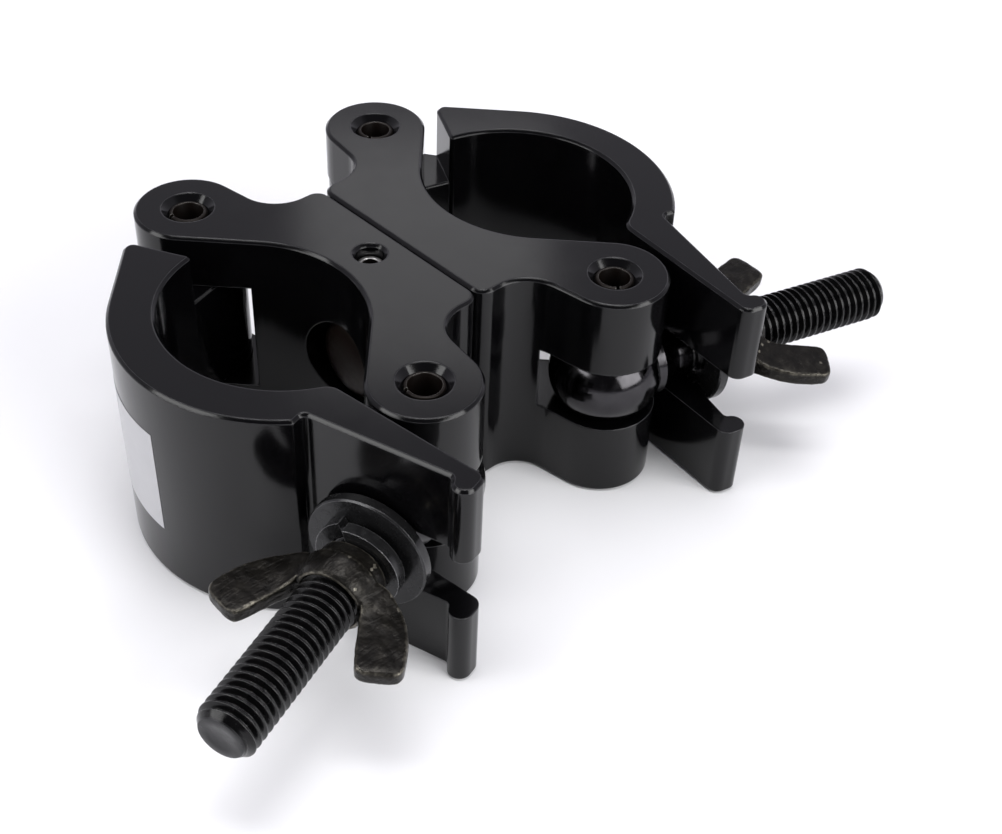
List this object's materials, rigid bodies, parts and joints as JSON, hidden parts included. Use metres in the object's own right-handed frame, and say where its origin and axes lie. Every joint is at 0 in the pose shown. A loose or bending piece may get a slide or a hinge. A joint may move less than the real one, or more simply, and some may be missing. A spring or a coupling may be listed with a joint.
{
  "type": "pipe clamp",
  "caption": "Swivel pipe clamp: hinged half couplers joined back to back by a swivel bolt, each closing over a tube and drawn tight by an eye bolt and forged wing nut.",
  "frame": {"origin": "the front tube's axis, dropped onto the plane of the side faces on which the clamp stands", "axes": "+Z along the tubes at rest, +Y along the swivel bolt from the front coupler to the rear one, +X from the jaw hinges to the wing bolts"},
  "size_m": [0.1194, 0.1858, 0.05],
  "materials": {
    "coated_body": "gloss black coat over extruded aluminium",
    "black_bolt": "black oxide steel",
    "forged_nut": "forged steel with a dark brown oxide",
    "washer_steel": "dark plated steel",
    "spring_pin": "dark spring steel",
    "slip_washer": "black slip plastic"
  },
  "bodies": {
    "front_base": {"front_saddle": "coated_body", "front_hinge_pin": "spring_pin", "front_bolt_pin": "spring_pin", "pivot_bolt": "black_bolt", "pivot_lock_pin": "spring_pin", "pivot_washer": "black_bolt", "pivot_nut": "black_bolt", "thrust_washer": "slip_washer"},
    "rear_base": {"rear_saddle": "coated_body", "rear_hinge_pin": "spring_pin", "rear_bolt_pin": "spring_pin"},
    "front_jaw_set": {"front_jaw": "coated_body"},
    "front_bolt_set": {"front_eye_bolt": "black_bolt"},
    "front_washer_set": {"front_flat_washer": "washer_steel", "front_lock_washer": "washer_steel"},
    "front_nut_set": {"front_wing_nut": "forged_nut"},
    "rear_jaw_set": {"rear_jaw": "coated_body"},
    "rear_bolt_set": {"rear_eye_bolt": "black_bolt"},
    "rear_washer_set": {"rear_flat_washer": "washer_steel", "rear_lock_washer": "washer_steel"},
    "rear_nut_set": {"rear_wing_nut": "forged_nut"}
  },
  "joints": [
    {"name": "swivel", "type": "hinge", "parent": "front_base", "child": "rear_base", "pos_m": [0, 0.0407, 0.025], "axis": [0, 1, 0], "continuous": true},
    {"name": "front_jaw_hinge", "type": "hinge", "parent": "front_base", "child": "front_jaw_set", "pos_m": [-0.0373, 0.0152, 0.025], "axis": [0, 0, -1], "range_deg": [0, 21]},
    {"name": "front_bolt_swing", "type": "hinge", "parent": "front_base", "child": "front_bolt_set", "pos_m": [0.0373, 0.0152, 0.025], "axis": [0, 0, -1], "range_deg": [0, 21]},
    {"name": "front_washer_travel", "type": "slide", "parent": "front_bolt_set", "child": "front_washer_set", "axis": [0.3437, -0.9391, 0], "range_m": [0, 0.0272]},
    {"name": "front_nut_turn", "type": "hinge", "parent": "front_washer_set", "child": "front_nut_set", "pos_m": [0.0373, 0.0152, 0.025], "axis": [0.3437, -0.9391, 0], "range_deg": [0, 5580]},
    {"name": "rear_jaw_hinge", "type": "hinge", "parent": "rear_base", "child": "rear_jaw_set", "pos_m": [-0.0373, 0.0662, 0.025], "axis": [0, 0, 1], "range_deg": [0, 21]},
    {"name": "rear_bolt_swing", "type": "hinge", "parent": "rear_base", "child": "rear_bolt_set", "pos_m": [0.0373, 0.0662, 0.025], "axis": [0, 0, 1], "range_deg": [0, 21]},
    {"name": "rear_washer_travel", "type": "slide", "parent": "rear_bolt_set", "child": "rear_washer_set", "axis": [0.299, 0.9542, 0], "range_m": [0, 0.0272]},
    {"name": "rear_nut_turn", "type": "hinge", "parent": "rear_washer_set", "child": "rear_nut_set", "pos_m": [0.0373, 0.0662, 0.025], "axis": [0.299, 0.9542, 0], "range_deg": [0, 5580]}
  ],
  "couplings": [
    {"joint": "front_jaw_hinge", "follows": "front_nut_turn", "ratio": 0.0037587},
    {"joint": "front_bolt_swing", "follows": "front_nut_turn", "ratio": 0.0037587},
    {"joint": "front_washer_travel", "follows": "front_nut_turn", "m_per_rad": 0.00027852},
    {"joint": "rear_jaw_hinge", "follows": "rear_nut_turn", "ratio": 0.0037587},
    {"joint": "rear_bolt_swing", "follows": "rear_nut_turn", "ratio": 0.0037587},
    {"joint": "rear_washer_travel", "follows": "rear_nut_turn", "m_per_rad": 0.00027852}
  ]
}
